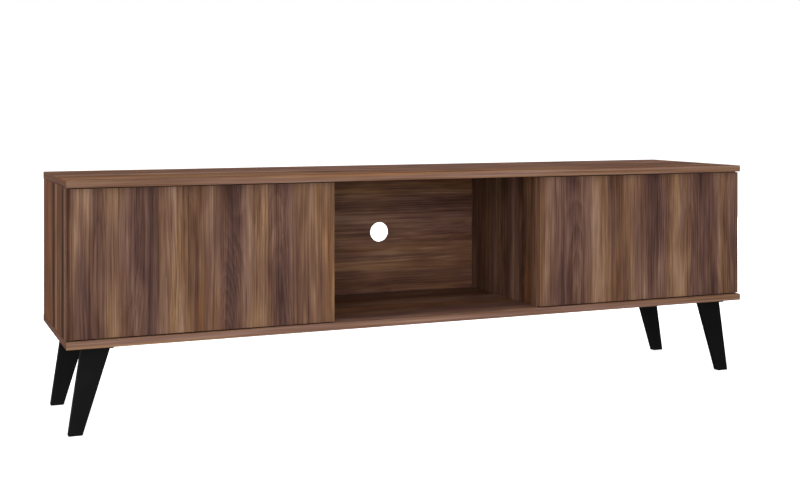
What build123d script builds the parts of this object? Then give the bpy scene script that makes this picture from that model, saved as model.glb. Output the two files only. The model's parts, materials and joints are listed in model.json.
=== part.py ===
"""Low TV stand on four splayed legs: two doors on hidden pivots, an open bay between them.

Millimetres, +Z up, +X along the length, the front faces -Y.
The origin is on the floor, under the middle of the stand.
"""

from build123d import *
import os

# ---- driving dimensions ---------------------------------------------------------------
LENGTH = 1600.0
DEPTH = 364.0
BOARD = 15.0
INNER_HEIGHT = 298.0
LEG_STAND = 177.0
BAY_WIDTH = 495.0
EDGE_ROUND = 0.6

# ---- levels and planes worked out from them -------------------------------------------
Z_BASE = LEG_STAND
Z_FLOOR = Z_BASE + BOARD
Z_CEILING = Z_FLOOR + INNER_HEIGHT
Z_TOP = Z_CEILING + BOARD
Z_MIDDLE = (Z_FLOOR + Z_CEILING) / 2
Y_FRONT = -DEPTH / 2
Y_REAR = DEPTH / 2
X_END = LENGTH / 2
SIDE_X = X_END - BOARD / 2
DIVIDER_X = BAY_WIDTH / 2 + BOARD / 2

# ---- doors ----------------------------------------------------------------------------
DOOR_SET_BACK = 8.0
DOOR_END_REVEAL = 1.0
DOOR_GAP_Z = 2.0
DOOR_GAP_BEHIND = 4.0
DOOR_FRONT = Y_FRONT + DOOR_SET_BACK
DOOR_BACK = DOOR_FRONT + BOARD
CARCASS_FRONT = DOOR_BACK + DOOR_GAP_BEHIND
DOOR_LOW = Z_FLOOR + DOOR_GAP_Z
DOOR_HIGH = Z_CEILING - DOOR_GAP_Z

# ---- back panels: thin boards nailed to the rear edges of the uprights ----------------
BACK_THICKNESS = 3.0
BACK_SET_IN = 4.0
BACK_JOINT = 0.5
CARCASS_REAR = Y_REAR - BACK_SET_IN - BACK_THICKNESS
CABLE_HOLE_RADIUS = 23.5
CABLE_HOLE_X = -5.0
NAIL_RADIUS = 0.8
NAIL_HEAD_RADIUS = 1.9
NAIL_HEAD_HEIGHT = 0.6
NAIL_LENGTH = 18.0
NAILS_PER_COLUMN = 5
NAIL_MARGIN = 18.0
NAIL_OFFSET = 3.6

# ---- carcass joinery ------------------------------------------------------------------
FITTING_Y = (-105.0, 115.0)
DOWEL_Y = (-55.0, 65.0)
DOWEL_RADIUS = 3.95
DOWEL_LENGTH = 30.0
DOWEL_IN_PANEL = 10.0
CAM_RADIUS = 7.4
CAM_DEPTH = 12.3
CAM_BELOW_TOP = 24.0
CAM_BOLT_THREAD = 10.0
FIT_GAP = 0.1
BASE_SCREW_LENGTH = 50.0

# ---- legs and their mounting plates ---------------------------------------------------
PLATE_HEIGHT = 5.5
PLATE_LENGTH = 60.0
PLATE_DEPTH = 58.0
LEG_THICKNESS = 18.0
LEG_Y = 136.0
LEG_HEIGHT = LEG_STAND - PLATE_HEIGHT
LEG_FOOT = (763.5, 791.0)
LEG_TOP = (709.0, 766.0)
LEG_ROUND = 1.0
PLATE_X = (LEG_TOP[0] + LEG_TOP[1]) / 2 - 2.0
PLATE_SCREW_X = 23.0
PLATE_SCREW_Y = 21.0
LEG_SCREW_X = 12.0

# ---- door pivots ----------------------------------------------------------------------
PIVOT_FROM_EDGE = 8.0
PIVOT_X = X_END - DOOR_END_REVEAL - PIVOT_FROM_EDGE
PIVOT_Y = DOOR_FRONT + BOARD / 2
PIN_RADIUS = 2.5
PIN_IN_PANEL = 11.0
PIN_IN_DOOR = 11.5
RUNNING_GAP = 0.05
DOOR_BUSH_RADIUS = 4.0
DOOR_BUSH_LENGTH = 13.0
BUSH_FLANGE_RADIUS = 5.2
BUSH_FLANGE_HEIGHT = 0.8
PANEL_BUSH_RADIUS = 4.5
WASHER_RADIUS = 5.2
WASHER_HEIGHT = 1.0

# ---- push latches ---------------------------------------------------------------------
LATCH_WIDTH = 14.0
LATCH_HEIGHT = 16.0
LATCH_LENGTH = 58.0
LATCH_X = DIVIDER_X + BOARD / 2 + LATCH_WIDTH / 2
LATCH_FRONT = CARCASS_FRONT + 1.5
LATCH_BORE_DEPTH = 48.0
LATCH_EAR_THICKNESS = 3.0
LATCH_EAR_REACH = 10.0
LATCH_EAR_LENGTH = 22.0
LATCH_EAR_Y = LATCH_FRONT + 34.0
STRIKE_THICKNESS = 1.2
STRIKE_WIDTH = 11.0
STRIKE_HEIGHT = 40.0
STRIKE_SCREW_Z = 14.0
STRIKE_CLEARANCE = 0.3
PLUNGER_RADIUS = 4.5
PLUNGER_LENGTH = 45.0
PLUNGER_GAP = 0.1
MAGNET_RADIUS = 3.55
MAGNET_LENGTH = 3.0
SPRING_POCKET_RADIUS = 3.4
SPRING_POCKET_DEPTH = 25.0
SPRING_RADIUS = 2.7
SPRING_WIRE_RADIUS = 0.35
SPRING_TURNS = 10

UP = (0, 0, 1)
DOWN = (0, 0, -1)
FORWARD = (0, -1, 0)
BACKWARD = (0, 1, 0)
SIDES = {"left": -1, "right": 1}
CORNERS = {
    "front_left": (-1, -1),
    "front_right": (1, -1),
    "back_left": (-1, 1),
    "back_right": (1, 1),
}


def block(xs, ys, zs):
    """A box between two values on each axis, given in either order."""
    size = [abs(b - a) for a, b in (xs, ys, zs)]
    middle = [(a + b) / 2 for a, b in (xs, ys, zs)]
    return Pos(*middle) * Box(*size)


def rod(start, direction, radius, length):
    """A cylinder that starts at a point and runs along a direction."""
    base = (Align.CENTER, Align.CENTER, Align.MIN)
    return Plane(origin=start, z_dir=direction) * Cylinder(radius, length, align=base)


def turned(start, direction, outline):
    """A solid of revolution about a line, from (radius, distance along the line) points."""
    face = make_face(Plane.XZ * Polyline(*outline, close=True))
    return Plane(origin=start, z_dir=direction) * revolve(face, Axis.Z)


def tube(start, direction, outer, inner, length):
    """A straight tube."""
    return rod(start, direction, outer, length) - rod(start, direction, inner, length)


def screw(start, direction, length, shank, head, grow=0.0):
    """A countersunk screw whose head's flat face is at start; grow makes its clearance hole."""
    cone = head - shank
    tip = 2 * shank
    point = grow + 0.2
    outline = [
        (0, -grow),
        (head + grow, -grow),
        (head + grow, 0),
        (shank + grow, cone),
        (shank + grow, length - tip + grow),
        (point, length + grow),
        (0, length + grow),
    ]
    if not grow:
        del outline[2]
    body = turned(start, direction, outline)
    if grow:
        return body
    frame = Plane(origin=start, z_dir=direction)
    slots = Box(head * 1.1, 0.18 * head, cone) + Box(0.18 * head, head * 1.1, cone)
    return body - frame * slots


def screw_hole(start, direction, length, shank, head):
    """The hole for that screw, a little larger all round."""
    return screw(start, direction, length, shank, head, grow=0.06)


def write(node, pieces):
    """One STEP file for one node: a single piece, or a group of separate solids."""
    shapes = pieces if isinstance(pieces, list) else [pieces]
    solids = [solid for shape in shapes for solid in shape.solids()]
    for solid in solids:
        solid.label = node
    group = solids[0] if len(solids) == 1 else Compound(children=solids)
    group.label = node
    export_step(group, f"parts/{node}.step")


# ---- places where fasteners go --------------------------------------------------------


def upright_lines():
    """The middle of each upright board in X, from left to right."""
    return [-SIDE_X, -DIVIDER_X, DIVIDER_X, SIDE_X]


def opens_towards(x):
    """The X direction in which the cupboard lies, seen from the upright at x."""
    outward = 1 if x > 0 else -1
    return -outward if abs(x) > DIVIDER_X + BOARD else outward


def base_screw_places():
    """Heads of the screws that come up through the bottom panel into the uprights."""
    return [(x, y, Z_BASE + 0.2) for x in upright_lines() for y in FITTING_Y]


def plate_screw_places(sx, sy):
    """Heads of the four screws that hold one leg plate under the bottom panel."""
    z = Z_BASE - PLATE_HEIGHT + 0.2
    return [
        (sx * PLATE_X + dx, sy * LEG_Y + dy, z)
        for dx in (-PLATE_SCREW_X, PLATE_SCREW_X)
        for dy in (-PLATE_SCREW_Y, PLATE_SCREW_Y)
    ]


def leg_screw_places(sx, sy):
    """Heads of the two screws that go down through a plate into the top of its leg."""
    middle = sx * (LEG_TOP[0] + LEG_TOP[1]) / 2
    z = Z_BASE - 0.2
    return [(middle + dx, sy * LEG_Y, z) for dx in (-LEG_SCREW_X, LEG_SCREW_X)]


def nail_places(x):
    """Nail heads in one column on the rear face of a back panel."""
    low = Z_FLOOR + NAIL_MARGIN
    step = (INNER_HEIGHT - 2 * NAIL_MARGIN) / (NAILS_PER_COLUMN - 1)
    y = CARCASS_REAR + BACK_THICKNESS
    return [(x, y, low + i * step) for i in range(NAILS_PER_COLUMN)]


def all_nail_places():
    """Every nail: one column at each end, and one each side of the joints on the dividers."""
    columns = [-SIDE_X, SIDE_X]
    columns += [s * (DIVIDER_X + d) for s in (-1, 1) for d in (-NAIL_OFFSET, NAIL_OFFSET)]
    return [place for x in columns for place in nail_places(x)]


def latch_screw_places(s):
    """Heads of the two screws through a latch's ears into its divider."""
    x = s * (DIVIDER_X + BOARD / 2 + LATCH_EAR_THICKNESS)
    y = LATCH_EAR_Y
    reach = LATCH_HEIGHT / 2 + LATCH_EAR_REACH / 2
    return [(x, y, Z_MIDDLE - reach), (x, y, Z_MIDDLE + reach)]


def strike_screw_places(s):
    """Heads of the two screws through a strike plate into its door."""
    y = DOOR_BACK + STRIKE_THICKNESS
    return [(s * LATCH_X, y, Z_MIDDLE + dz) for dz in (-STRIKE_SCREW_Z, STRIKE_SCREW_Z)]


BASE_SCREW = (BASE_SCREW_LENGTH, 2.5, 5.0)
PLATE_SCREW = (14.0, 1.75, 3.5)
LEG_SCREW = (35.0, 2.0, 4.0)
LATCH_SCREW = (13.0, 1.5, 3.0)
STRIKE_SCREW = (11.0, 1.4, 2.5)


# ---- fittings -------------------------------------------------------------------------


def dowels():
    """Wooden dowels in both ends of every upright."""
    pieces = []
    for x in upright_lines():
        for y in DOWEL_Y:
            low = (x, y, Z_FLOOR - DOWEL_IN_PANEL)
            high = (x, y, Z_CEILING + DOWEL_IN_PANEL)
            pieces.append(rod(low, UP, DOWEL_RADIUS, DOWEL_LENGTH))
            pieces.append(rod(high, DOWN, DOWEL_RADIUS, DOWEL_LENGTH))
    return [chamfer(piece.edges(), 0.6) for piece in pieces]


def dowel_hole(x, y, high):
    """The hole that one dowel sits in, half a millimetre longer at each end."""
    z = Z_CEILING + DOWEL_IN_PANEL + 0.5 if high else Z_FLOOR - DOWEL_IN_PANEL - 0.5
    return rod((x, y, z), DOWN if high else UP, DOWEL_RADIUS + RUNNING_GAP, DOWEL_LENGTH + 1)


def cam_pocket(x, y, radius, depth):
    """A round pocket or cam, let into the cupboard side of an upright."""
    towards = opens_towards(x)
    start = (x + towards * BOARD / 2, y, Z_CEILING - CAM_BELOW_TOP)
    return rod(start, (-towards, 0, 0), radius, depth)


def cam_nut(x, y):
    """A quarter-turn cam with a bore for the bolt's head and a cross slot in its face."""
    towards = opens_towards(x)
    z = Z_CEILING - CAM_BELOW_TOP
    body = cam_pocket(x, y, CAM_RADIUS, CAM_DEPTH)
    bore = rod((x, y, z - 3.0), UP, 3.7, CAM_RADIUS + 4)
    face = x + towards * BOARD / 2
    depth = (face - towards * 1.6, face + towards)
    cross = [
        block(depth, (y - 4.2, y + 4.2), (z - 0.6, z + 0.6)),
        block(depth, (y - 0.6, y + 0.6), (z - 4.2, z + 4.2)),
    ]
    return body - [bore, *cross]


def cam_bolt(x, y):
    """A bolt screwed up into the top panel, whose head the cam draws down."""
    drop = CAM_BELOW_TOP
    start = (x, y, Z_CEILING - drop)
    outline = [
        (0, -1.6),
        (3.4, -1.6),
        (3.4, 1.6),
        (2.0, 2.6),
        (2.0, 10.0),
        (3.4, 11.0),
        (3.4, drop),
        (2.9, drop),
        (2.9, drop + CAM_BOLT_THREAD - 1.0),
        (2.0, drop + CAM_BOLT_THREAD),
        (0, drop + CAM_BOLT_THREAD),
    ]
    return turned(start, UP, outline)


def cam_bolt_holes(x, y):
    """The clearance hole down to the cam, and the threaded hole in the top panel."""
    shank = rod((x, y, Z_CEILING), DOWN, 3.5, CAM_BELOW_TOP)
    thread = rod((x, y, Z_CEILING - 1), UP, 3.0, CAM_BOLT_THREAD + 1.5)
    return [shank, thread]


def base_screws():
    """Screws up through the bottom panel."""
    return [screw(place, UP, *BASE_SCREW) for place in base_screw_places()]


def nails():
    """Flat-headed nails through the back panels."""
    outline = [
        (0, -NAIL_HEAD_HEIGHT),
        (NAIL_HEAD_RADIUS, -NAIL_HEAD_HEIGHT),
        (NAIL_HEAD_RADIUS, 0),
        (NAIL_RADIUS, 0),
        (NAIL_RADIUS, NAIL_LENGTH - 2),
        (0.1, NAIL_LENGTH),
        (0, NAIL_LENGTH),
    ]
    return [turned(place, FORWARD, outline) for place in all_nail_places()]


def nail_hole(place):
    """The hole that one nail makes."""
    return rod(place, FORWARD, NAIL_RADIUS + RUNNING_GAP, NAIL_LENGTH + 0.3)


# ---- boards ---------------------------------------------------------------------------


def rounded(solid, edges, radius=EDGE_ROUND):
    """The solid with the edging's small radius on the given edges."""
    return fillet(edges(solid), radius)


def pivot_hole(s, high):
    """The hole for a pivot bush in the top or bottom panel."""
    start = (s * PIVOT_X, PIVOT_Y, Z_CEILING if high else Z_FLOOR)
    depth = PIN_IN_PANEL + 0.5
    return rod(start, UP if high else DOWN, PANEL_BUSH_RADIUS + RUNNING_GAP, depth)


def top_panel():
    """The top board, over everything, with blind holes in its underside."""
    board = block((-X_END, X_END), (Y_FRONT, Y_REAR), (Z_CEILING, Z_TOP))
    board = rounded(board, lambda solid: solid.edges())
    holes = [dowel_hole(x, y, True) for x in upright_lines() for y in DOWEL_Y]
    holes += [cam_bolt_holes(x, y)[1] for x in upright_lines() for y in FITTING_Y]
    holes += [pivot_hole(s, True) for s in SIDES.values()]
    return board - holes


def bottom_panel():
    """The bottom board, the same size as the top, with holes from above and below."""
    board = block((-X_END, X_END), (Y_FRONT, Y_REAR), (Z_BASE, Z_FLOOR))
    board = rounded(board, lambda solid: solid.edges())
    holes = [dowel_hole(x, y, False) for x in upright_lines() for y in DOWEL_Y]
    holes += [screw_hole(place, UP, *BASE_SCREW) for place in base_screw_places()]
    holes += [pivot_hole(s, False) for s in SIDES.values()]
    for sx, sy in CORNERS.values():
        holes += [screw_hole(place, UP, *PLATE_SCREW) for place in plate_screw_places(sx, sy)]
    return board - holes


def upright(x):
    """A side or divider, standing between the bottom and the top."""
    xs = (x - BOARD / 2, x + BOARD / 2)
    board = block(xs, (CARCASS_FRONT, CARCASS_REAR), (Z_FLOOR, Z_CEILING))
    front = board.edges().filter_by(Axis.Z).group_by(Axis.Y)[0]
    board = fillet(front, EDGE_ROUND)
    holes = [dowel_hole(x, y, high) for y in DOWEL_Y for high in (False, True)]
    for y in FITTING_Y:
        holes.append(cam_pocket(x, y, CAM_RADIUS + FIT_GAP, CAM_DEPTH + 0.2))
        holes.append(cam_bolt_holes(x, y)[0])
    places = [place for place in base_screw_places() if place[0] == x]
    holes += [screw_hole(place, UP, *BASE_SCREW) for place in places]
    holes += [nail_hole(place) for place in all_nail_places() if abs(place[0] - x) < BOARD / 2]
    if abs(x) == DIVIDER_X:
        s = 1 if x > 0 else -1
        holes += [screw_hole(place, (-s, 0, 0), *LATCH_SCREW) for place in latch_screw_places(s)]
    return board - holes


def back_panel(x0, x1):
    """A thin back board between two joints, with its nail holes."""
    gap = BACK_JOINT
    ys = (CARCASS_REAR, CARCASS_REAR + BACK_THICKNESS)
    board = block((x0, x1), ys, (Z_FLOOR + gap, Z_CEILING - gap))
    return board - [nail_hole(place) for place in all_nail_places() if x0 < place[0] < x1]


def back_panels():
    """Three back boards that meet on the dividers; the middle one has the cable hole."""
    inner = DIVIDER_X + BACK_JOINT
    outer = X_END - 2 * BACK_JOINT
    bay = DIVIDER_X - BACK_JOINT
    hole_start = (CABLE_HOLE_X, CARCASS_REAR - 1, Z_MIDDLE)
    cable_hole = rod(hole_start, BACKWARD, CABLE_HOLE_RADIUS, BACK_THICKNESS + 2)
    return {
        "left_back_panel": back_panel(-outer, -inner),
        "centre_back_panel": back_panel(-bay, bay) - cable_hole,
        "right_back_panel": back_panel(inner, outer),
    }


# ---- doors, pivots and latches --------------------------------------------------------


def door(s):
    """One door board, with bush holes in its top and bottom edges and strike screw holes."""
    xs = (s * BAY_WIDTH / 2, s * (X_END - DOOR_END_REVEAL))
    board = block(xs, (DOOR_FRONT, DOOR_BACK), (DOOR_LOW, DOOR_HIGH))
    board = rounded(board, lambda solid: solid.edges())
    holes = []
    for z, inward in ((DOOR_LOW, UP), (DOOR_HIGH, DOWN)):
        start = (s * PIVOT_X, PIVOT_Y, z)
        holes.append(rod(start, inward, DOOR_BUSH_RADIUS + RUNNING_GAP, DOOR_BUSH_LENGTH + 0.5))
    for place in strike_screw_places(s):
        holes.append(screw_hole(place, FORWARD, *STRIKE_SCREW))
    return board - holes


def door_bushes(s):
    """The flanged nylon bushes in a door's bottom and top edges."""
    bushes = []
    for z, inward, outward in ((DOOR_LOW, UP, DOWN), (DOOR_HIGH, DOWN, UP)):
        start = (s * PIVOT_X, PIVOT_Y, z)
        bore = PIN_RADIUS + RUNNING_GAP
        sleeve = tube(start, inward, DOOR_BUSH_RADIUS, bore, DOOR_BUSH_LENGTH)
        flange = tube(start, outward, BUSH_FLANGE_RADIUS, bore, BUSH_FLANGE_HEIGHT)
        bushes.append(sleeve + flange)
    return bushes


def pivot_ends(s):
    """The face of each panel at a door's pivots, with the way into the panel and out of it."""
    low = ((s * PIVOT_X, PIVOT_Y, Z_FLOOR), DOWN, UP)
    high = ((s * PIVOT_X, PIVOT_Y, Z_CEILING), UP, DOWN)
    return [low, high]


def pivot_pins(s):
    """The steel pins that a door turns on, fixed in the bottom and top panels."""
    length = PIN_IN_PANEL + DOOR_GAP_Z + PIN_IN_DOOR
    bevel = 0.5
    outline = [
        (0, 0),
        (PIN_RADIUS - bevel, 0),
        (PIN_RADIUS, bevel),
        (PIN_RADIUS, length - bevel),
        (PIN_RADIUS - bevel, length),
        (0, length),
    ]
    low = (s * PIVOT_X, PIVOT_Y, Z_FLOOR - PIN_IN_PANEL)
    high = (s * PIVOT_X, PIVOT_Y, Z_CEILING + PIN_IN_PANEL)
    return [turned(low, UP, outline), turned(high, DOWN, outline)]


def panel_bushes():
    """The nylon sockets that hold the pins in the bottom and top panels."""
    bore = PIN_RADIUS + 0.02
    ends = [end for s in SIDES.values() for end in pivot_ends(s)]
    return [tube(start, into, PANEL_BUSH_RADIUS, bore, PIN_IN_PANEL) for start, into, out in ends]


def pivot_washers():
    """The washers on the pins, which set the gap above and below each door."""
    bore = PIN_RADIUS + 0.1
    ends = [end for s in SIDES.values() for end in pivot_ends(s)]
    return [tube(start, out, WASHER_RADIUS, bore, WASHER_HEIGHT) for start, into, out in ends]


def latch_body(s):
    """The latch's housing on the divider: a bored block with two screw ears."""
    foot = s * (DIVIDER_X + BOARD / 2)
    xs = (foot, foot + s * LATCH_WIDTH)
    zs = (Z_MIDDLE - LATCH_HEIGHT / 2, Z_MIDDLE + LATCH_HEIGHT / 2)
    housing = block(xs, (LATCH_FRONT, LATCH_FRONT + LATCH_LENGTH), zs)
    outer = housing.edges().filter_by(Axis.Y).sort_by(lambda edge: -s * edge.center().X)[:2]
    housing = fillet(outer, 3.0)
    ear_x = (foot, foot + s * LATCH_EAR_THICKNESS)
    ear_y = (LATCH_EAR_Y - LATCH_EAR_LENGTH / 2, LATCH_EAR_Y + LATCH_EAR_LENGTH / 2)
    reach = LATCH_HEIGHT / 2 + LATCH_EAR_REACH
    ears = block(ear_x, ear_y, (Z_MIDDLE - reach, Z_MIDDLE + reach))
    ears = fillet(ears.edges().filter_by(Axis.X), 4.0)
    start = (s * LATCH_X, LATCH_FRONT, Z_MIDDLE)
    bore = rod(start, BACKWARD, PLUNGER_RADIUS + PLUNGER_GAP, LATCH_BORE_DEPTH)
    holes = [screw_hole(place, (-s, 0, 0), *LATCH_SCREW) for place in latch_screw_places(s)]
    return housing + ears - [bore, *holes]


def plunger_tip(s):
    """The point on the strike side of the magnet, just clear of the strike plate."""
    return (s * LATCH_X, DOOR_BACK + STRIKE_THICKNESS + STRIKE_CLEARANCE, Z_MIDDLE)


def latch_plunger(s):
    """The plunger: a rod with a cup for the magnet in front and one for the spring behind."""
    x, y, z = plunger_tip(s)
    body = rod((x, y, z), BACKWARD, PLUNGER_RADIUS, PLUNGER_LENGTH)
    body = chamfer(body.edges().group_by(Axis.Y)[0], 0.4)
    cup = rod((x, y, z), BACKWARD, MAGNET_RADIUS + RUNNING_GAP, MAGNET_LENGTH)
    pocket = rod((x, y + PLUNGER_LENGTH, z), FORWARD, SPRING_POCKET_RADIUS, SPRING_POCKET_DEPTH)
    return body - [cup, pocket]


def latch_magnet(s):
    """The disc magnet in the plunger's front cup."""
    return rod(plunger_tip(s), BACKWARD, MAGNET_RADIUS, MAGNET_LENGTH)


def latch_spring(s):
    """The compression spring between the plunger's pocket and the end of the bore."""
    x, tip, z = plunger_tip(s)
    start = tip + PLUNGER_LENGTH - SPRING_POCKET_DEPTH + SPRING_WIRE_RADIUS + 0.05
    end = LATCH_FRONT + LATCH_BORE_DEPTH - SPRING_WIRE_RADIUS - 0.05
    height = end - start
    path = Helix(height / SPRING_TURNS, height, SPRING_RADIUS)
    section = Plane(origin=path @ 0, z_dir=path % 0) * Circle(SPRING_WIRE_RADIUS)
    coil = sweep(section, path=path, is_frenet=True)
    return Plane(origin=(x, start, z), z_dir=BACKWARD) * coil


def strike_plate(s):
    """The thin steel plate on the back of a door that the magnet holds."""
    xs = (s * LATCH_X - STRIKE_WIDTH / 2, s * LATCH_X + STRIKE_WIDTH / 2)
    ys = (DOOR_BACK, DOOR_BACK + STRIKE_THICKNESS)
    plate = block(xs, ys, (Z_MIDDLE - STRIKE_HEIGHT / 2, Z_MIDDLE + STRIKE_HEIGHT / 2))
    plate = fillet(plate.edges().filter_by(Axis.Y), 4.0)
    return plate - [screw_hole(place, FORWARD, *STRIKE_SCREW) for place in strike_screw_places(s)]


# ---- legs -----------------------------------------------------------------------------


def leg(sx, sy):
    """A flat tapered leg that leans out towards the end of the stand."""
    outline = [
        (sx * LEG_FOOT[0], 0),
        (sx * LEG_FOOT[1], 0),
        (sx * LEG_TOP[1], LEG_HEIGHT),
        (sx * LEG_TOP[0], LEG_HEIGHT),
    ]
    face = make_face(Plane.XZ * Polyline(*outline, close=True))
    blank = extrude(face, LEG_THICKNESS / 2, both=True)
    blank = fillet(blank.edges().group_by(Axis.Z)[0] + blank.edges().group_by(Axis.Z)[1], LEG_ROUND)
    placed = Pos(0, sy * LEG_Y, 0) * blank
    return placed - [screw_hole(place, DOWN, *LEG_SCREW) for place in leg_screw_places(sx, sy)]


def leg_plate(sx, sy):
    """The moulded plate that joins a leg to the bottom panel."""
    xs = (sx * PLATE_X - PLATE_LENGTH / 2, sx * PLATE_X + PLATE_LENGTH / 2)
    ys = (sy * LEG_Y - PLATE_DEPTH / 2, sy * LEG_Y + PLATE_DEPTH / 2)
    plate = block(xs, ys, (Z_BASE - PLATE_HEIGHT, Z_BASE))
    plate = fillet(plate.edges().filter_by(Axis.Z), 4.0)
    plate = chamfer(plate.edges().group_by(Axis.Z)[0], 0.8)
    holes = [screw_hole(place, UP, *PLATE_SCREW) for place in plate_screw_places(sx, sy)]
    holes += [screw_hole(place, DOWN, *LEG_SCREW) for place in leg_screw_places(sx, sy)]
    return plate - holes


def screws_at(places_of, direction, kind):
    """The screws of one kind at every corner of the stand."""
    places = [place for sx, sy in CORNERS.values() for place in places_of(sx, sy)]
    return [screw(place, direction, *kind) for place in places]


# ---- the whole stand ------------------------------------------------------------------


def stand():
    """Every node of the stand, by name."""
    nodes = {
        "top_panel": top_panel(),
        "bottom_panel": bottom_panel(),
        "left_side_panel": upright(-SIDE_X),
        "right_side_panel": upright(SIDE_X),
        "left_divider": upright(-DIVIDER_X),
        "right_divider": upright(DIVIDER_X),
        **back_panels(),
        "back_panel_nails": nails(),
        "dowels": dowels(),
        "cam_nuts": [cam_nut(x, y) for x in upright_lines() for y in FITTING_Y],
        "cam_bolts": [cam_bolt(x, y) for x in upright_lines() for y in FITTING_Y],
        "base_screws": base_screws(),
        "panel_pivot_bushes": panel_bushes(),
        "pivot_washers": pivot_washers(),
        "leg_plate_screws": screws_at(plate_screw_places, UP, PLATE_SCREW),
        "leg_screws": screws_at(leg_screw_places, DOWN, LEG_SCREW),
    }
    for corner, (sx, sy) in CORNERS.items():
        nodes[f"{corner}_leg"] = leg(sx, sy)
        nodes[f"{corner}_leg_plate"] = leg_plate(sx, sy)
    for side, s in SIDES.items():
        across = (-s, 0, 0)
        nodes[f"{side}_door"] = door(s)
        nodes[f"{side}_door_bushes"] = door_bushes(s)
        nodes[f"{side}_pivot_pins"] = pivot_pins(s)
        nodes[f"{side}_latch_body"] = latch_body(s)
        nodes[f"{side}_latch_plunger"] = latch_plunger(s)
        nodes[f"{side}_latch_magnet"] = latch_magnet(s)
        nodes[f"{side}_latch_spring"] = latch_spring(s)
        nodes[f"{side}_strike_plate"] = strike_plate(s)
        strikes = [screw(place, FORWARD, *STRIKE_SCREW) for place in strike_screw_places(s)]
        nodes[f"{side}_strike_screws"] = strikes
        latches = [screw(place, across, *LATCH_SCREW) for place in latch_screw_places(s)]
        nodes[f"{side}_latch_screws"] = latches
    return nodes


os.makedirs("parts", exist_ok=True)
for name, shape in stand().items():
    write(name, shape)
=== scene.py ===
"""Looks for the low TV stand: walnut-pattern boards, black legs, small metal and plastic fittings."""

import json
import math

import bpy
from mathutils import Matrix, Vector


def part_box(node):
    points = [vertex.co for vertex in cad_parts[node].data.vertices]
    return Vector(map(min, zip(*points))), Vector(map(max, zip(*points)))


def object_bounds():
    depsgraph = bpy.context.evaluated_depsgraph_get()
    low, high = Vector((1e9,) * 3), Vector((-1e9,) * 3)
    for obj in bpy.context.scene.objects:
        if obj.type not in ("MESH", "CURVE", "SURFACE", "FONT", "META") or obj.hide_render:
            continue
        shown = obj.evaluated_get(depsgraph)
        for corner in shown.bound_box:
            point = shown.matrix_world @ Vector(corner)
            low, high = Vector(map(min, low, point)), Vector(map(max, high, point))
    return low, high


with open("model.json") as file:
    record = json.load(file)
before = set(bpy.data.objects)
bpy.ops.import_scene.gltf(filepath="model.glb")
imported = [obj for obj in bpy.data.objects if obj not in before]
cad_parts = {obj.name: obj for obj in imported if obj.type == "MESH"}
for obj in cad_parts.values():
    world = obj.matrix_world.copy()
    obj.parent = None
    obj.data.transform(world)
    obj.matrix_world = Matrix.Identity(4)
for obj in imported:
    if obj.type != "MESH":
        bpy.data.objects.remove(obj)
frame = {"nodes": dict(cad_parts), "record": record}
cad_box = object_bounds()
low, high = (Vector(corner) for corner in cad_box)
NODES = frame["nodes"]
MM = 0.001
AXES = {"x": 0, "y": 1, "z": 2}


# ---- a short way to write shader graphs ------------------------------------------------


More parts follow.
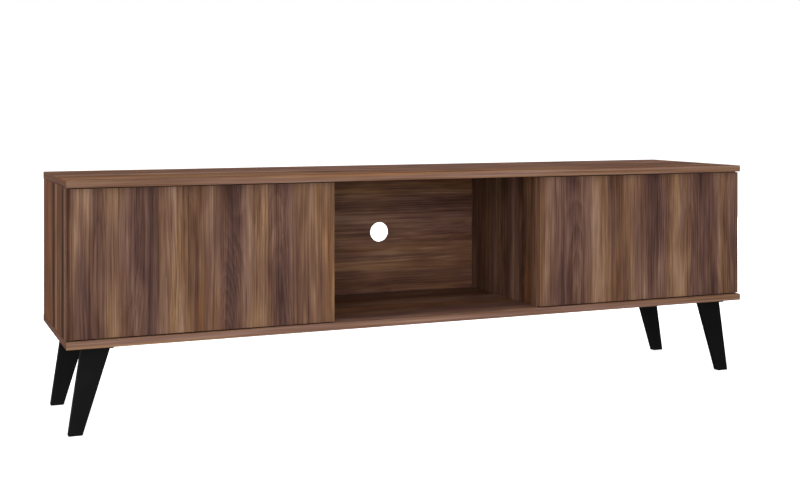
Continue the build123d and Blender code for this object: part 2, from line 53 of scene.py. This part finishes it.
class Graph:
    """One procedural material: a Principled shader and the nodes that feed it."""

    def __init__(self, name):
        self.material = bpy.data.materials.new(name)
        self.material.use_nodes = True
        self.tree = self.material.node_tree
        self.tree.nodes.clear()
        self.shader = self.add("ShaderNodeBsdfPrincipled")
        output = self.add("ShaderNodeOutputMaterial")
        self.tree.links.new(self.shader.outputs["BSDF"], output.inputs["Surface"])
        self.place = self.add("ShaderNodeTexCoord").outputs["Object"]
        self.axes = self.split(self.place)

    def add(self, kind, **settings):
        node = self.tree.nodes.new(kind)
        for key, value in settings.items():
            setattr(node, key, value)
        return node

    def feed(self, socket, value):
        """Links a socket to an input, or writes a number or colour into it."""
        if isinstance(value, bpy.types.NodeSocket):
            self.tree.links.new(value, socket)
        elif isinstance(value, tuple) and len(value) == 3 and socket.type == "RGBA":
            socket.default_value = (*value, 1.0)
        else:
            socket.default_value = value

    def set(self, **values):
        """Puts values or sockets on the shader; underscores stand for spaces."""
        for key, value in values.items():
            self.feed(self.shader.inputs[key.replace("_", " ")], value)

    def split(self, vector):
        """The three parts of a vector."""
        node = self.add("ShaderNodeSeparateXYZ")
        self.feed(node.inputs[0], vector)
        return node.outputs

    def join(self, x, y, z):
        node = self.add("ShaderNodeCombineXYZ")
        for socket, value in zip(node.inputs, (x, y, z)):
            self.feed(socket, value)
        return node.outputs[0]

    def math(self, operation, a, b):
        node = self.add("ShaderNodeMath", operation=operation)
        self.feed(node.inputs[0], a)
        self.feed(node.inputs[1], b)
        return node.outputs[0]

    def scaled(self, value, factor, offset=0.0):
        """The value times a factor, plus an offset."""
        node = self.add("ShaderNodeMath", operation="MULTIPLY_ADD")
        self.feed(node.inputs[0], value)
        node.inputs[1].default_value = factor
        self.feed(node.inputs[2], offset)
        return node.outputs[0]

    def noise(self, vector, detail=2.0, roughness=0.5, scale=1.0):
        """Noise from 0 to 1, about 0.5."""
        node = self.add("ShaderNodeTexNoise")
        self.feed(node.inputs["Vector"], vector)
        node.inputs["Scale"].default_value = scale
        node.inputs["Detail"].default_value = detail
        node.inputs["Roughness"].default_value = roughness
        return node.outputs["Fac"]

    def swing(self, noise, reach):
        """Noise turned into a shift of up to reach each way."""
        return self.scaled(noise, 2 * reach, -reach)

    def ramp(self, factor, stops):
        """A colour ramp from (place, colour or grey value) stops."""
        node = self.add("ShaderNodeValToRGB")
        self.feed(node.inputs[0], factor)
        band = node.color_ramp
        while len(band.elements) < len(stops):
            band.elements.new(0.5)
        for element, (place, value) in zip(band.elements, stops):
            colour = value if isinstance(value, tuple) else (value,) * 3
            element.position = place
            element.color = (*colour, 1.0)
        return node.outputs["Color"]

    def mix(self, factor, a, b, blend="MIX"):
        node = self.add("ShaderNodeMix", data_type="RGBA", blend_type=blend)
        self.feed(node.inputs[0], factor)
        self.feed(node.inputs[6], a)
        self.feed(node.inputs[7], b)
        return node.outputs[2]

    def bump(self, height, strength, distance):
        """Small relief on the shader's normal; the distance is in metres."""
        node = self.add("ShaderNodeBump")
        node.inputs["Strength"].default_value = strength
        node.inputs["Distance"].default_value = distance
        self.feed(node.inputs["Height"], height)
        self.feed(self.shader.inputs["Normal"], node.outputs[0])


def srgb(red, green, blue):
    """A linear colour from its 0 to 255 screen values."""

    def linear(value):
        part = value / 255
        return part / 12.92 if part <= 0.04045 else ((part + 0.055) / 1.055) ** 2.4

    return tuple(linear(value) for value in (red, green, blue))


# ---- walnut-pattern board --------------------------------------------------------------

PLUM = srgb(68, 46, 39)
UMBER = srgb(88, 62, 52)
BROWN = srgb(110, 80, 65)
TAN = srgb(130, 99, 79)
BLOND = srgb(156, 124, 100)
WALNUT = [(0.0, PLUM), (0.25, UMBER), (0.5, BROWN), (0.75, TAN), (1.0, BLOND)]
EDGING = [(0.32, srgb(111, 79, 61)), (0.5, srgb(137, 104, 85)), (0.68, srgb(160, 129, 107))]
FIBREBOARD = [(0.25, srgb(100, 75, 54)), (0.75, srgb(142, 112, 84))]

# What the wood's colour is multiplied by, from a cool brown through yellow to red-brown.
CAST = [(0.0, (0.98, 0.99, 1.12)), (0.7, (1.0, 0.95, 0.78)), (1.0, (1.1, 0.86, 0.63))]
NO_TINT = (1.0, 1.0, 1.0)
SIDE_TINT = (0.97, 0.88, 0.84)
# Redder tint for the back boards' foil: painted shade, the redder light deep in the shaded bays.
BACK_SHADE_TINT = (1.0, 0.93, 0.91)
BOARD_END_TINT = (0.84, 0.72, 0.64)
# Darker tint for the edging on the doors' left and right end faces: painted shade.
DOOR_END_SHADE_TINT = (0.72, 0.66, 0.6)

# Depth of the edge banding, and of the bare rear of a back board.
BAND_DEPTH = 0.4 * MM
BARE_DEPTH = 0.5 * MM

# Noise layers of the wood: features a metre across the grain and along it, detail,
# roughness, and a shift that keeps the layers apart.
LAYERS = {
    "slow_drift": (5.0, 1.6, 1.0, 0.5, 1.0),
    "quick_drift": (20.0, 7.0, 1.0, 0.5, 2.0),
    "bands": (14.0, 0.8, 1.0, 0.5, 3.0),
    "band_change": (20.0, 3.0, 1.0, 0.5, 3.0),
    "band_warmth": (13.0, 0.8, 1.0, 0.5, 4.0),
    "patches": (38.0, 8.0, 2.0, 0.5, 5.0),
    "streaks": (120.0, 2.6, 3.0, 0.75, 7.0),
    "threads": (420.0, 4.5, 2.0, 0.7, 11.0),
    "growth": (8.0, 0.7, 1.0, 0.5, 13.0),
    "ring_patches": (16.0, 1.2, 1.0, 0.5, 17.0),
    "cast": (45.0, 4.0, 2.0, 0.5, 19.0),
    "dark_lines": (300.0, 3.0, 1.0, 0.5, 23.0),
    "pores": (1500.0, 45.0, 1.0, 0.5, 31.0),
}

# How far a layer moves the wood's tone, its cast or the change between two figures.
REACH = {"patches": 0.42, "streaks": 0.6, "threads": 0.45, "cast": 0.8, "band_change": 0.6}

# The quick drift as a share of a board's drift, then the span and floor of the broad tone.
QUICK_SHARE = 0.4
TONE_SPAN = 0.88
TONE_FLOOR = 0.05

# Growth rings over the range of their noise, and how far the threads make them waver.
GROWTH_RINGS = 55.0
RING_WAVER = 1.2

# Features a metre in the edge banding's print, across its grain and along it.
EDGING_ACROSS = 170.0
EDGING_ALONG = 2.5

# Broad figure of the boards whose bands are listed. Doors start at their left edge, sides and
# dividers at their front edge, the back board at its lower edge. Each stop holds the
# distance in mm, the tone at the top or left end and at the other end (0 dark, 1 light),
# and how warm the brown is there.
# The left door's first two stops, dark over the 4 mm by its left edge, are painted shade of the gap
# beside that edge.
LEFT_DOOR_FIGURE = [
    (0, 0.0, 0.0, 0.8), (4, 0.1, 0.1, 0.8), (8, 0.7, 0.5, 0.3), (15, 0.8, 0.5, 0.2),
    (40, 0.8, 0.3, 0.1), (60, 0.5, 0.2, 0.2), (90, 0.7, 0.7, 0.5), (115, 0.7, 0.6, 0.4),
    (135, 0.3, 0.3, 0.0), (160, 0.1, 0.1, 0.0), (180, 0.6, 0.5, 0.1), (210, 0.8, 0.8, 0.4),
    (240, 0.4, 0.5, 0.5), (260, 0.4, 0.4, 0.7), (280, 0.7, 0.6, 0.4), (300, 0.4, 0.6, 0.3),
    (320, 0.0, 0.4, 0.0), (345, 0.1, 0.4, 0.0), (370, 0.7, 0.9, 0.5), (395, 0.7, 0.8, 0.4),
    (430, 0.3, 0.3, 0.0), (450, 0.4, 0.1, 0.0), (480, 0.6, 0.5, 0.3), (510, 0.8, 0.8, 0.5),
    (551, 0.6, 0.6, 0.7),
]
RIGHT_DOOR_FIGURE = [
    (0, 0.5, 0.6, 0.6), (20, 0.7, 0.6, 0.3), (45, 0.6, 0.4, 0.0), (75, 0.3, 0.2, 0.0),
    (105, 0.5, 0.6, 0.1), (150, 0.9, 0.8, 0.3), (185, 0.5, 0.6, 0.5), (205, 0.3, 0.4, 0.7),
    (225, 0.5, 0.5, 0.5), (250, 0.7, 0.7, 0.3), (280, 0.3, 0.6, 0.2), (315, 0.0, 0.4, 0.0),
    (345, 0.5, 0.6, 0.3), (375, 0.9, 0.9, 0.5), (400, 0.6, 0.8, 0.4), (430, 0.3, 0.5, 0.0),
    (455, 0.3, 0.3, 0.0), (475, 0.4, 0.0, 0.0), (500, 0.7, 0.6, 0.3), (515, 0.6, 0.5, 0.6),
    (530, 0.5, 0.5, 0.2), (551, 0.4, 0.4, 0.0),
]
SIDE_FIGURE = [
    (0, 0.3, 0.3, 1.1), (10, 0.7, 0.6, 0.8), (24, 0.0, 0.0, 1.2), (36, 0.0, 0.0, 1.2),
    (48, 0.9, 0.8, 0.7), (60, 0.7, 0.7, 0.9), (72, 0.5, 0.5, 0.9), (86, 0.9, 0.8, 0.8),
    (98, 0.3, 0.3, 0.9), (112, 1.0, 1.0, 0.5), (136, 1.1, 1.1, 0.5), (150, 0.3, 0.3, 1.2),
    (164, 0.0, 0.0, 1.2), (178, 0.5, 0.5, 1.2), (200, 0.8, 0.8, 1.2), (260, 0.8, 0.8, 1.1),
    (330, 0.8, 0.8, 0.9),
]
DIVIDER_FIGURE = [
    (0, 0.5, 0.5, 0.9), (45, 0.5, 0.4, 0.8), (70, 0.1, 0.1, 0.6), (85, 0.4, 0.4, 0.4),
    (110, 0.7, 0.7, 0.1), (135, 0.3, 0.3, 0.4), (160, 0.3, 0.3, 0.5), (185, 0.6, 0.6, 0.4),
    (215, 0.5, 0.5, 0.4), (250, 0.4, 0.4, 0.6), (330, 0.3, 0.3, 0.3),
]
BACK_FIGURE = [
    (0, 0.6, 0.5, 0.4), (25, 0.5, 0.4, 0.3), (55, 0.7, 0.6, 0.4), (68, 1.0, 0.6, 0.5),
    (80, 0.7, 0.5, 0.5), (100, 0.9, 0.6, 0.4), (140, 0.7, 0.4, 0.3), (175, 1.2, 0.7, 0.1),
    (190, 1.0, 0.7, 0.1), (212, 0.4, 0.2, 0.2), (235, 0.7, 0.4, 0.3), (248, 0.9, 0.7, 0.7),
    (262, 0.5, 0.5, 0.9), (298, 0.8, 0.7, 0.7),
]


def tinted(stops, tint):
    """Colour stops multiplied by a tint."""
    return [(place, tuple(a * b for a, b in zip(colour, tint))) for place, colour in stops]


class Walnut(Graph):
    """Printed walnut: broad bands, growth rings, streaks and threads along the grain."""

    def __init__(self, name, grain, across, seed, drift):
        """The drift, in mm, is how far the figure wanders from straight."""
        super().__init__(name)
        self.seed = seed
        self.along = self.axes[AXES[grain]]
        self.depth = self.axes[3 - AXES[grain] - AXES[across]]
        self.over = self.axes[AXES[across]]
        slow = self.swing(self.layer("slow_drift"), drift * MM)
        quick = self.swing(self.layer("quick_drift"), drift * QUICK_SHARE * MM)
        self.over = self.math("ADD", self.over, self.math("ADD", slow, quick))

    def layer(self, name):
        """One of the noise layers, from 0 to 1."""
        across, along, detail, roughness, shift = LAYERS[name]
        vector = self.join(
            self.scaled(self.over, across, self.seed + shift),
            self.scaled(self.depth, across),
            self.scaled(self.along, along),
        )
        return self.noise(vector, detail, roughness)

    def wave(self, name):
        """One of the noise layers, from its reach below 0 to its reach above."""
        return self.swing(self.layer(name), REACH[name])

    def noisy_figure(self, contrast, lift):
        """Broad bands and their warmth where no figure is drawn; lift lightens the far end."""
        bands = self.scaled(self.layer("bands"), contrast, 0.5 - contrast / 2)
        far = self.ramp(self.along, [(0.0, 0.0), (0.3, lift)])
        warmth = self.ramp(self.layer("band_warmth"), [(0.4, 0.0), (0.65, 1.0)])
        return self.math("ADD", bands, far), warmth

    def drawn_figure(self, figure, start, ends):
        """Broad bands from a list, which change from one end of the board to the other."""
        width = figure[-1][0] * MM
        factor = self.scaled(self.over, 1 / width, -start / width)
        tones = [
            self.ramp(factor, [(row[0] * MM / width, row[column]) for row in figure])
            for column in (1, 2, 3)
        ]
        first, last = ends
        gone = self.scaled(self.along, 1 / (last - first), -first / (last - first))
        uneven = self.math("ADD", gone, self.wave("band_change"))
        change = self.ramp(uneven, [(0.15, 0.0), (0.85, 1.0)])
        return self.mix(change, tones[0], tones[1]), tones[2]

    def rings(self, threads):
        """Faint growth rings, which step from dark to light and show only in places."""
        growth = self.scaled(self.layer("growth"), GROWTH_RINGS)
        wavy = self.math("ADD", growth, self.math("MULTIPLY", threads, RING_WAVER))
        ring = self.math("FRACT", wavy, 0.0)
        shown = self.ramp(self.layer("ring_patches"), [(0.42, 0.02), (0.6, 0.22)])
        return self.math("MULTIPLY", self.scaled(ring, 1.0, -0.5), shown)

    def colour(self, tone, warmth, tint=NO_TINT):
        """The wood's colour from its broad tone and warmth, and the tint of its print."""
        tone = self.scaled(tone, TONE_SPAN, TONE_FLOOR)
        threads = self.wave("threads")
        for part in (self.wave("patches"), self.wave("streaks"), threads, self.rings(threads)):
            tone = self.math("ADD", tone, part)
        wood = self.ramp(tone, tinted(WALNUT, tint))
        cast = self.math("ADD", warmth, self.wave("cast"))
        wood = self.mix(1.0, wood, self.ramp(cast, CAST), "MULTIPLY")
        dark_lines = self.ramp(self.layer("dark_lines"), [(0.28, 0.62), (0.38, 1.0)])
        return self.mix(1.0, wood, dark_lines, "MULTIPLY")

    def edging(self, wood, box, across, along, tint=NO_TINT):
        """Plain edge banding on the two narrow faces at the ends of an axis, with its grain."""
        at = self.axes[AXES[across]]
        lowest, highest = (corner[AXES[across]] for corner in box)
        inside = self.math(
            "MULTIPLY",
            self.math("GREATER_THAN", at, lowest + BAND_DEPTH),
            self.math("LESS_THAN", at, highest - BAND_DEPTH),
        )
        lines = self.join(
            self.scaled(self.axes[3 - AXES[across] - AXES[along]], EDGING_ACROSS),
            self.scaled(self.axes[AXES[along]], EDGING_ALONG),
            self.seed,
        )
        strip = self.ramp(self.noise(lines, 3.0, 0.65), tinted(EDGING, tint))
        cast = self.scaled(self.noise(lines, 1.0, scale=0.6), 2.4, -0.9)
        strip = self.mix(1.0, strip, self.ramp(cast, CAST), "MULTIPLY")
        return self.mix(inside, strip, wood)

    def raw_rear(self, wood, rear):
        """Bare brown fibreboard on the face at the rear."""
        fibres = self.noise(self.place, 4.0, 0.75, scale=260.0)
        cloud = self.swing(self.noise(self.place, 2.0, scale=7.0), 0.12)
        bare = self.ramp(self.math("ADD", fibres, cloud), FIBREBOARD)
        behind = self.math("GREATER_THAN", self.axes[1], rear - BARE_DEPTH)
        return self.mix(behind, wood, bare)

    def finish(self, wood):
        """Satin melamine with the pressed pores of its pattern."""
        pores = self.layer("pores")
        self.set(Base_Color=wood, Roughness=self.scaled(pores, 0.12, 0.34), Specular_IOR_Level=0.07)
        self.bump(pores, 0.12, 0.25 * MM)
        return self.material


def dress(node, material):
    """Gives a CAD node its material."""
    slots = NODES[node].data.materials
    slots.clear()
    slots.append(material)


def dress_long_board(node, seed, contrast, lift):
    """The top or bottom board: grain along X, plain edging all round."""
    walnut = Walnut(node + "_walnut", "x", "y", seed, drift=18.0)
    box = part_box(node)
    wood = walnut.colour(*walnut.noisy_figure(contrast, lift))
    wood = walnut.edging(wood, box, "x", "y", BOARD_END_TINT)
    dress(node, walnut.finish(walnut.edging(wood, box, "y", "x")))


def dress_upright(node, seed, figure, tint):
    """A side or divider: upright grain, its figure drawn from the front edge back."""
    walnut = Walnut(node + "_walnut", "z", "y", seed, drift=3.0)
    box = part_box(node)
    drawn = walnut.drawn_figure(figure, box[0].y, (box[1].z, box[0].z))
    wood = walnut.colour(*drawn, tint)
    dress(node, walnut.finish(walnut.edging(wood, box, "y", "z")))


def dress_door(node, seed, figure):
    """A door: upright grain, its figure drawn from the left edge, plain edging all round, darkened on
    the left and right end faces as painted shade.
    """
    walnut = Walnut(node + "_walnut", "z", "x", seed, drift=7.0)
    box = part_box(node)
    wood = walnut.colour(*walnut.drawn_figure(figure, box[0].x, (box[1].z, box[0].z)))
    wood = walnut.edging(wood, box, "z", "x")
    # The darker tint on the end faces' edging is painted shade.
    dress(node, walnut.finish(walnut.edging(wood, box, "x", "z", DOOR_END_SHADE_TINT)))


def dress_back_board(node, seed):
    """A thin back board: foil with long grain in front, reddened as painted shade of the bay, bare
    fibreboard behind.
    """
    walnut = Walnut(node + "_walnut", "x", "z", seed, drift=4.0)
    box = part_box(node)
    drawn = walnut.drawn_figure(BACK_FIGURE, box[0].z, (box[0].x, box[1].x))
    # The redder tint on this foil is painted shade, the light of the shaded bay.
    wood = walnut.colour(*drawn, BACK_SHADE_TINT)
    dress(node, walnut.finish(walnut.raw_rear(wood, box[1].y)))


dress_long_board("top_panel", seed=10.0, contrast=1.7, lift=0.14)
dress_long_board("bottom_panel", seed=14.0, contrast=1.2, lift=0.0)
dress_upright("left_side_panel", 30.0, SIDE_FIGURE, SIDE_TINT)
dress_upright("right_side_panel", 37.0, SIDE_FIGURE, SIDE_TINT)
dress_upright("left_divider", 44.0, DIVIDER_FIGURE, NO_TINT)
dress_upright("right_divider", 51.0, DIVIDER_FIGURE, NO_TINT)
dress_door("left_door", 60.0, LEFT_DOOR_FIGURE)
dress_door("right_door", 66.0, RIGHT_DOOR_FIGURE)
dress_back_board("left_back_panel", 80.0)
dress_back_board("centre_back_panel", 85.0)
dress_back_board("right_back_panel", 90.0)


# ---- paint, plastic, metal and plain wood ----------------------------------------------


def black_lacquer():
    """Satin black paint with a faint orange peel."""
    graph = Graph("black_lacquer")
    peel = graph.noise(graph.place, 2.0, scale=420.0)
    cloud = graph.noise(graph.place, 3.0, scale=14.0)
    graph.set(
        Base_Color=graph.ramp(cloud, [(0.3, srgb(12, 12, 12)), (0.7, srgb(18, 18, 18))]),
        Roughness=graph.scaled(cloud, 0.12, 0.4),
        Specular_IOR_Level=0.1,
    )
    graph.bump(peel, 0.08, 0.2 * MM)
    return graph.material


def moulded(name, dark, light, roughness):
    """Moulded plastic with a fine spark-eroded texture."""
    graph = Graph(name)
    grit = graph.noise(graph.place, 2.0, scale=2600.0)
    cloud = graph.noise(graph.place, 2.0, scale=60.0)
    graph.set(
        Base_Color=graph.ramp(cloud, [(0.3, dark), (0.7, light)]),
        Roughness=graph.scaled(grit, 0.15, roughness),
        Specular_IOR_Level=0.2,
    )
    graph.bump(grit, 0.15, 0.05 * MM)
    return graph.material


def metal(name, dark, light, roughness):
    """Plated steel or cast zinc with a slightly uneven surface."""
    graph = Graph(name)
    cloud = graph.noise(graph.place, 3.0, scale=180.0)
    grit = graph.noise(graph.place, 2.0, scale=3000.0)
    graph.set(
        Base_Color=graph.ramp(cloud, [(0.3, dark), (0.7, light)]),
        Metallic=1.0,
        Roughness=graph.scaled(cloud, 0.2, roughness),
    )
    graph.bump(grit, 0.1, 0.03 * MM)
    return graph.material


def beech():
    """Pale turned beech for the dowels."""
    graph = Graph("beech")
    x, y, z = graph.axes
    stretched = graph.join(graph.scaled(x, 900.0), graph.scaled(y, 900.0), graph.scaled(z, 60.0))
    lines = graph.noise(stretched, 2.0)
    graph.set(
        Base_Color=graph.ramp(lines, [(0.3, srgb(186, 140, 96)), (0.7, srgb(218, 180, 136))]),
        Roughness=graph.scaled(lines, 0.2, 0.5),
    )
    graph.bump(lines, 0.2, 0.1 * MM)
    return graph.material


FINISHES = {
    "leg_black": black_lacquer(),
    "plate_black": moulded("black_plastic", srgb(14, 14, 14), srgb(20, 20, 20), 0.45),
    # The washers' dark brown is painted shade: in the door gaps they read as the shadowed gap.
    "nylon_brown": moulded("brown_nylon", srgb(58, 40, 31), srgb(72, 51, 40), 0.4),
    "latch_grey": moulded("grey_plastic", srgb(92, 92, 94), srgb(106, 106, 108), 0.42),
    "zinc_steel": metal("zinc_plate", srgb(176, 178, 178), srgb(206, 208, 206), 0.28),
    "nickel_steel": metal("nickel_plate", srgb(186, 182, 174), srgb(212, 208, 200), 0.16),
    "die_cast_zinc": metal("die_cast_zinc", srgb(150, 152, 154), srgb(182, 184, 186), 0.38),
    "magnet": metal("magnet_plate", srgb(160, 162, 166), srgb(196, 198, 202), 0.12),
    "beech": beech(),
}
for part in frame["record"]["subparts"]:
    finish = FINISHES.get(part["material_slot"])
    if finish:
        dress(part["node"], finish)


# ---- floor, light and camera -----------------------------------------------------------

# The room's light comes mostly from this side, and from nowhere on the far side.
BRIGHT_SIDE = (-0.9, -0.7, 0.5)
ROOM_GREYS = [(0.2, 0.0), (1.0, 1.0)]

# The camera's place in metres, its height over the top, its turn about Z in degrees, its
# lens and sensor in mm, and its shift.
CAMERA_X = -1.126
CAMERA_Y = -2.6038
CAMERA_OVER_TOP = 0.1413
CAMERA_TURN = -22.94
LENS = 55.0
SENSOR = 36.0
LENS_SHIFT = -0.1783


def pale_floor():
    """A wide pale floor, bright enough to keep the shadow under the stand faint."""
    half = 60.0
    mesh = bpy.data.meshes.new("floor")
    corners = [(-half, -half, 0), (half, -half, 0), (half, half, 0), (-half, half, 0)]
    mesh.from_pydata(corners, [], [(0, 1, 2, 3)])
    floor = bpy.data.objects.new("floor", mesh)
    floor.visible_glossy = False
    floor.visible_diffuse = False
    bpy.context.scene.collection.objects.link(floor)
    graph = Graph("pale_floor")
    cloud = graph.noise(graph.place, 3.0, scale=1.5)
    graph.set(
        Base_Color=graph.ramp(cloud, [(0.3, 0.86), (0.7, 0.9)]),
        Roughness=0.9,
        Specular_IOR_Level=0.1,
        Emission_Color=(1.0, 1.0, 1.0),
        Emission_Strength=0.8,
    )
    mesh.materials.append(graph.material)


def white_room():
    """Soft light from all round, strongest from the front left; the camera sees plain white."""
    world = bpy.data.worlds.new("studio")
    bpy.context.scene.world = world
    world.use_nodes = True
    nodes = world.node_tree.nodes
    links = world.node_tree.links
    nodes.clear()
    way = nodes.new("ShaderNodeTexCoord")
    towards = nodes.new("ShaderNodeVectorMath")
    towards.operation = "DOT_PRODUCT"
    towards.inputs[1].default_value = Vector(BRIGHT_SIDE).normalized()
    links.new(way.outputs["Generated"], towards.inputs[0])
    share = nodes.new("ShaderNodeMapRange")
    share.inputs["From Min"].default_value = -1.0
    links.new(towards.outputs["Value"], share.inputs["Value"])
    fall = nodes.new("ShaderNodeValToRGB")
    for element, (place, grey) in zip(fall.color_ramp.elements, ROOM_GREYS):
        element.position = place
        element.color = (grey, grey, grey, 1.0)
    links.new(share.outputs["Result"], fall.inputs[0])
    room = nodes.new("ShaderNodeBackground")
    links.new(fall.outputs["Color"], room.inputs["Color"])
    seen = nodes.new("ShaderNodeBackground")
    seen.inputs["Color"].default_value = (1.0, 1.0, 1.0, 1.0)
    rays = nodes.new("ShaderNodeLightPath")
    choose = nodes.new("ShaderNodeMixShader")
    links.new(rays.outputs["Is Camera Ray"], choose.inputs[0])
    links.new(room.outputs[0], choose.inputs[1])
    links.new(seen.outputs[0], choose.inputs[2])
    output = nodes.new("ShaderNodeOutputWorld")
    links.new(choose.outputs[0], output.inputs["Surface"])


def soft_box(name, place, size, power, gloss=True):
    """A large square lamp that faces the stand; one without gloss only fills the shade."""
    lamp = bpy.data.lights.new(name, "AREA")
    lamp.size = size
    lamp.energy = power
    light = bpy.data.objects.new(name, lamp)
    bpy.context.scene.collection.objects.link(light)
    light.location = place
    light.visible_glossy = gloss
    middle = (low + high) / 2
    light.rotation_euler = (middle - light.location).to_track_quat("-Z", "Y").to_euler()


def camera():
    """A level camera to the front left, a little above the top, with the lens shifted down."""
    lens = bpy.data.cameras.new("camera")
    lens.sensor_width = SENSOR
    lens.lens = LENS
    lens.shift_y = LENS_SHIFT
    view = bpy.data.objects.new("camera", lens)
    bpy.context.scene.collection.objects.link(view)
    view.location = (CAMERA_X, CAMERA_Y, high.z + CAMERA_OVER_TOP)
    view.rotation_euler = (math.radians(90), 0, math.radians(CAMERA_TURN))
    bpy.context.scene.camera = view


pale_floor()
white_room()
soft_box("front_box", (-1.6, -4.4, 1.1), size=2.2, power=65.0)
soft_box("top_box", (-0.2, -0.6, 3.0), size=2.6, power=50.0)
soft_box("rear_fill", (2.8, 3.4, 1.6), size=2.6, power=120.0, gloss=False)
camera()
bpy.context.scene.view_settings.view_transform = "Standard"
